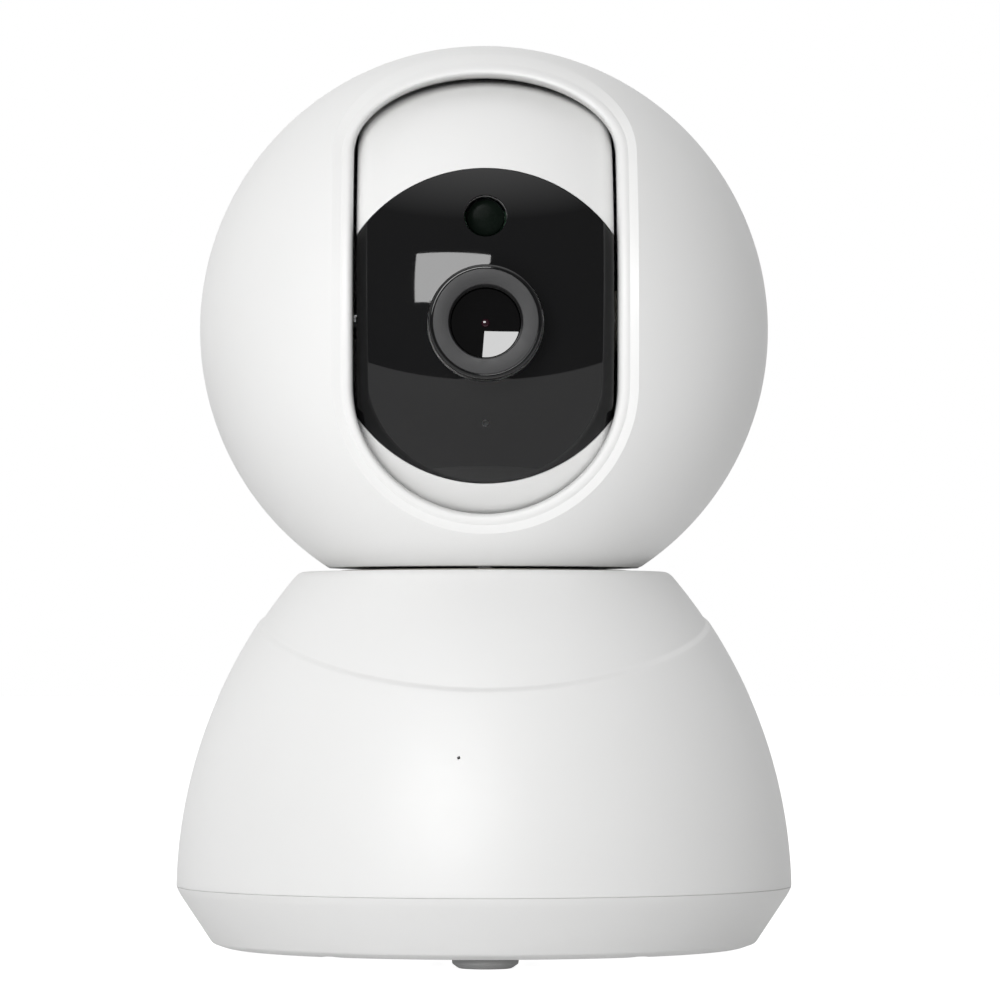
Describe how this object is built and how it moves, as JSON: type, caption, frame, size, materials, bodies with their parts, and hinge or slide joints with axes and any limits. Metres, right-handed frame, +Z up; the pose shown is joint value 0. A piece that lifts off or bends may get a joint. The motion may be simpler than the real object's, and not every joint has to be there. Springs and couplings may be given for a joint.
{
  "type": "security camera",
  "caption": "Indoor pan-and-tilt security camera: a round weighted base, a spherical head that turns on it, and a slotted lens drum that tilts behind a black window.",
  "frame": {"origin": "on the pan axis, at the plane that the feet stand on", "axes": "+Z up along the pan axis, -Y the way that the lens looks at rest, +X to the viewer's right when facing the lens"},
  "size_m": [0.08, 0.08, 0.1185],
  "materials": {
    "white_shell": "fine satin moulded plastic",
    "foot_rubber": "matt rubber",
    "brass": "turned brass",
    "circuit_board": "green solder mask",
    "acetal": "natural acetal",
    "window_black": "polished black",
    "ring_grey": "satin dark grey",
    "lens_glass": "coated glass, dark",
    "inner_plastic": "moulded black",
    "steel": "bright"
  },
  "bodies": {
    "base": {"base_dome": "white_shell", "base_bottom_cover": "white_shell", "foot_front": "foot_rubber", "foot_rear_left": "foot_rubber", "foot_rear_right": "foot_rubber", "ballast_plate": "steel", "speaker": "inner_plastic", "tripod_insert": "brass", "main_board": "circuit_board", "power_inlet": "steel", "reset_switch": "inner_plastic", "base_microphone": "steel", "wifi_antenna": "circuit_board", "pan_motor": "steel", "pan_bracket": "inner_plastic", "slide_ring": "acetal", "cable_loom": "inner_plastic", "cover_screw_1": "steel", "cover_screw_2": "steel", "cover_screw_3": "steel", "cover_screw_4": "steel", "bracket_screw_1": "steel", "bracket_screw_2": "steel", "pan_motor_screw_1": "steel", "pan_motor_screw_2": "steel"},
    "pan_pinion": {"pan_pinion": "acetal"},
    "reset_button": {"reset_button": "white_shell"},
    "head": {"pan_turntable": "acetal", "turntable_screw_1": "steel", "turntable_screw_2": "steel", "turntable_screw_3": "steel", "head_front_shell": "white_shell", "head_rear_shell": "white_shell", "tilt_bracket_right": "inner_plastic", "tilt_bush_right": "acetal", "tilt_bracket_left": "inner_plastic", "tilt_bush_left": "acetal", "tilt_motor": "steel", "tilt_motor_screw_1": "steel", "tilt_motor_screw_2": "steel"},
    "drum": {"drum_front_shell": "white_shell", "drum_rear_shell": "white_shell", "window": "window_black", "lens_ring": "ring_grey", "lens_barrel": "inner_plastic", "front_lens": "lens_glass", "lens_holder": "inner_plastic", "ir_cut_filter": "lens_glass", "image_sensor": "inner_plastic", "sensor_board": "circuit_board", "led_board": "circuit_board", "infrared_led_1": "lens_glass", "infrared_led_2": "lens_glass", "infrared_led_3": "lens_glass", "infrared_led_4": "lens_glass", "light_sensor": "lens_glass", "lens_microphone": "steel", "card_socket": "steel", "drive_shaft": "steel", "trunnion": "steel"}
  },
  "joints": [
    {"name": "head_pan", "type": "hinge", "parent": "base", "child": "head", "pos_m": [0, 0, 0.05], "axis": [0, 0, 1], "range_deg": [-175, 175]},
    {"name": "pinion_spin", "type": "hinge", "parent": "base", "child": "pan_pinion", "pos_m": [0, 0.0216, 0.0385], "axis": [0, 0, 1], "range_deg": [-530, 530]},
    {"name": "lens_tilt", "type": "hinge", "parent": "head", "child": "drum", "pos_m": [0, -0.002, 0.0824], "axis": [-1, 0, 0], "range_deg": [-25, 50]},
    {"name": "reset_press", "type": "slide", "parent": "base", "child": "reset_button", "axis": [0, -1, 0], "range_m": [0, 0.0006], "stiffness_N_per_m": 400, "springref_m": -0.0004}
  ],
  "couplings": [
    {"joint": "pinion_spin", "follows": "head_pan", "ratio": -3}
  ]
}
